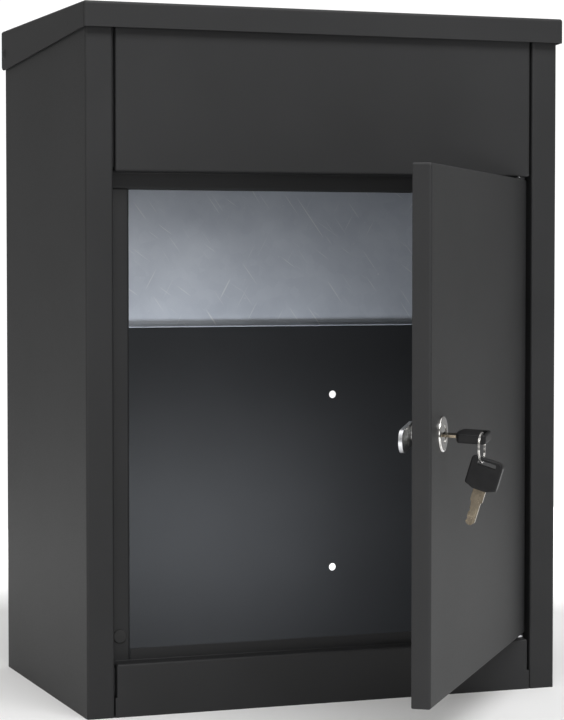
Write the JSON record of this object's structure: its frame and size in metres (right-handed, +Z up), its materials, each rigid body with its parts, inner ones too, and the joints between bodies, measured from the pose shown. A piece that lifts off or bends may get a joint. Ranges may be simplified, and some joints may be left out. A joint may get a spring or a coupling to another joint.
{
  "type": "parcel drop box",
  "caption": "Upright folded-steel parcel box with a rear-hinged drop lid and guard flap, and a lockable front door with its key and a spare on a ring.",
  "frame": {"origin": "centre of the cabinet's base, on the surface it stands on", "axes": "+Z up, -Y out of the front (door) side, +X to the right seen from the front"},
  "size_m": [0.446, 0.5887, 0.6],
  "materials": {
    "powder_coat": "matte fine-texture powder coat",
    "galvanised": "spangled zinc coat with fine scratches",
    "zinc_plate": "satin",
    "nickel": "polished",
    "key_metal": "nickel-plated brass, worn",
    "bow_plastic": "fine grain",
    "rubber": "matte",
    "nylon": "matte"
  },
  "bodies": {
    "cabinet": {"side_panel_left": "powder_coat", "side_panel_right": "powder_coat", "rear_panel": "powder_coat", "floor_pan": "powder_coat", "upper_front_panel": "powder_coat", "lower_front_panel": "powder_coat", "latch_stile": "powder_coat", "hinge_stile": "powder_coat", "hinge_pins": "zinc_plate", "hinge_spacer": "nylon", "hinge_washer": "zinc_plate", "door_buffer": "rubber", "lid_rest_pads": "rubber", "pivot_bushes": "nylon"},
    "lid": {"lid_shell": "powder_coat", "guard_flap": "galvanised", "flap_rivets": "zinc_plate", "pivot_bolts": "powder_coat", "pivot_nuts": "zinc_plate"},
    "door": {"door_panel": "powder_coat", "door_stiffener": "powder_coat", "hinge_brackets": "powder_coat", "hinge_bushes": "nylon", "lock_body": "nickel", "lock_nut": "zinc_plate"},
    "lock": {"lock_plug": "nickel", "lock_cam": "zinc_plate", "cam_screw": "zinc_plate"},
    "key": {"key_blade": "key_metal", "key_bow": "bow_plastic"},
    "ring": {"key_ring": "nickel"},
    "spare_key": {"spare_key_blade": "key_metal", "spare_key_bow": "bow_plastic"}
  },
  "joints": [
    {"name": "lid_hinge", "type": "hinge", "parent": "cabinet", "child": "lid", "pos_m": [0, 0.13, 0.578], "axis": [-1, 0, 0], "range_deg": [0, 72]},
    {"name": "door_hinge", "type": "hinge", "parent": "cabinet", "child": "door", "pos_m": [0.184, -0.132, 0.254], "axis": [0, 0, 1], "range_deg": [-53, 52]},
    {"name": "lock_turn", "type": "hinge", "parent": "door", "child": "lock", "pos_m": [-0.01468, -0.40563, 0.2536], "axis": [0.7986, -0.6018, 0], "range_deg": [-8.5, 81.5]},
    {"name": "key_slide", "type": "slide", "parent": "lock", "child": "key", "axis": [0.798, -0.6013, -0.0401], "range_m": [0, 0.024]},
    {"name": "ring_swing", "type": "hinge", "parent": "key", "child": "ring", "pos_m": [0.0057, -0.43325, 0.25093], "axis": [0.7986, -0.6018, 0], "range_deg": [-90, 45]},
    {"name": "spare_key_swing", "type": "hinge", "parent": "ring", "child": "spare_key", "pos_m": [0.0057, -0.43325, 0.23383], "axis": [0.6018, 0.7986, 0], "range_deg": [-60, 12]}
  ]
}
